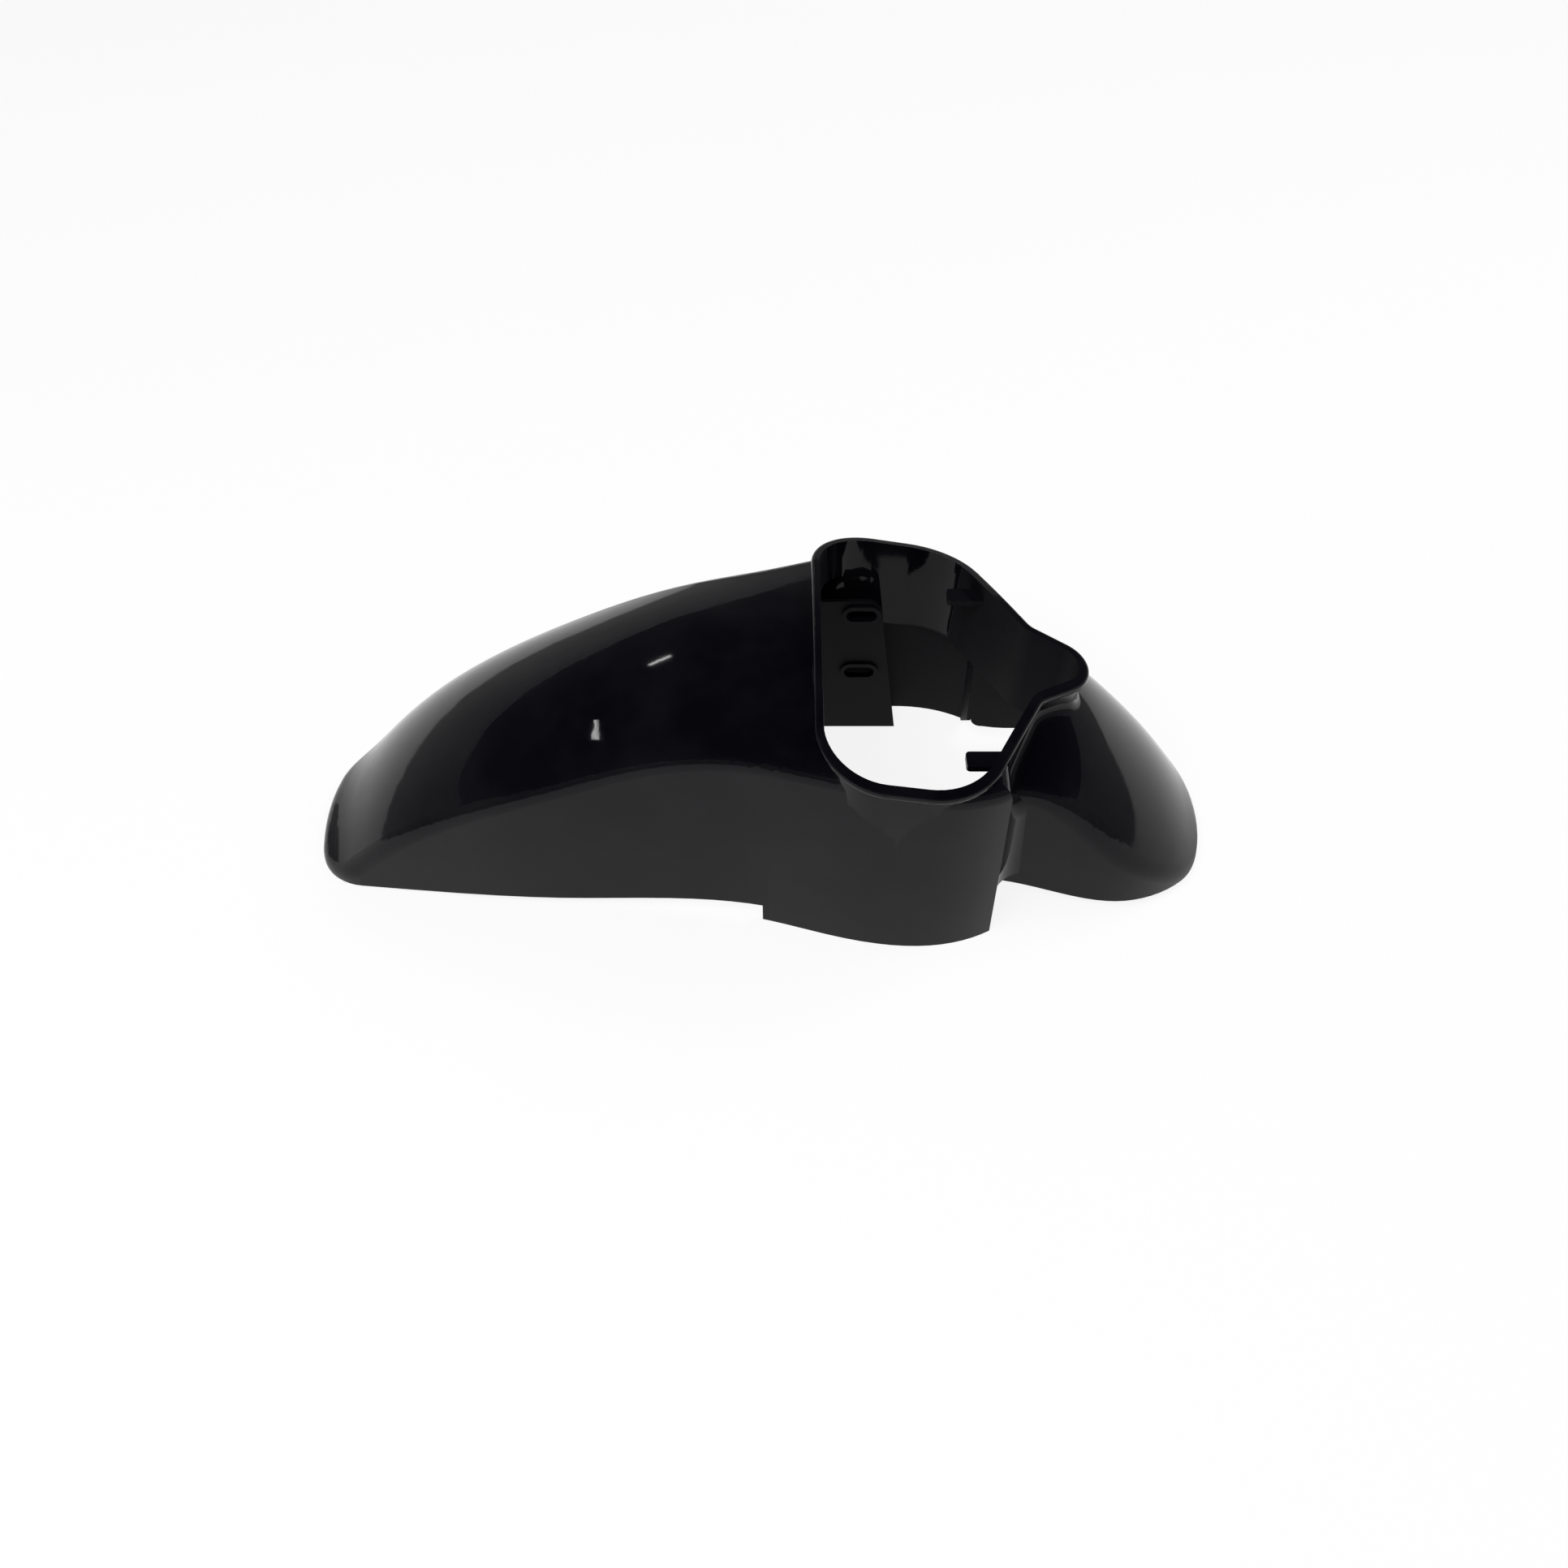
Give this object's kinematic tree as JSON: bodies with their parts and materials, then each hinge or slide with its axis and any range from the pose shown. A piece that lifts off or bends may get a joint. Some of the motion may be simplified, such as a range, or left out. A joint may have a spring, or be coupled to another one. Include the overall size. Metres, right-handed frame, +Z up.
{
  "type": "motorcycle front mudguard",
  "caption": "One-piece moulded scooter front mudguard with a domed nose, side pods round a fork opening, slotted fixing plates inside and a short rounded tail.",
  "frame": {"origin": "middle of the overall length and width, at the level of the lowest edge of the pods and nose", "axes": "+X from the nose to the tail, +Y to the rider's right, +Z up"},
  "size_m": [0.5748, 0.221, 0.1648],
  "materials": {
    "gloss_black": "high gloss moulded black"
  },
  "bodies": {
    "root": {"mudguard_shell": "gloss_black"}
  },
  "joints": []
}
